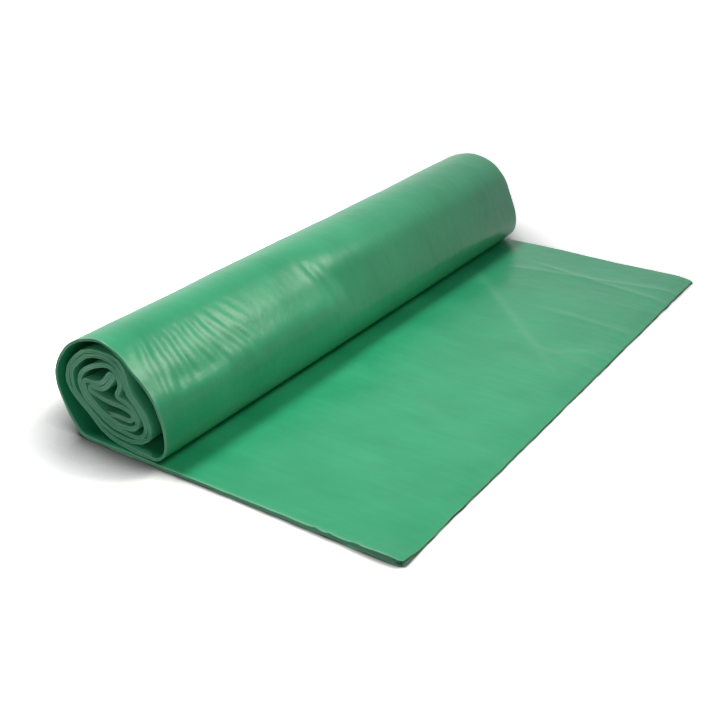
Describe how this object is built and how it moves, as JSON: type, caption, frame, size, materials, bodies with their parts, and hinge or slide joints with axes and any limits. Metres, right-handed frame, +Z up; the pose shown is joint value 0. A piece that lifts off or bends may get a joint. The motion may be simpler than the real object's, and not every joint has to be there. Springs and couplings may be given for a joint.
{
  "type": "bin bag roll",
  "caption": "Coreless roll of green plastic bin bags lying on its side, loosely wound, with crushed inner turns and a flat tail unrolled in front of it.",
  "frame": {"origin": "middle of the space that the roll and its tail cover on the floor", "axes": "+X along the roll, +Y from the free edge of the tail to the back of the roll, +Z up"},
  "size_m": [0.354, 0.1944, 0.0572],
  "materials": {
    "film": "satin polyethylene film, slightly translucent"
  },
  "bodies": {
    "root": {"bag_roll": "film"}
  },
  "joints": []
}
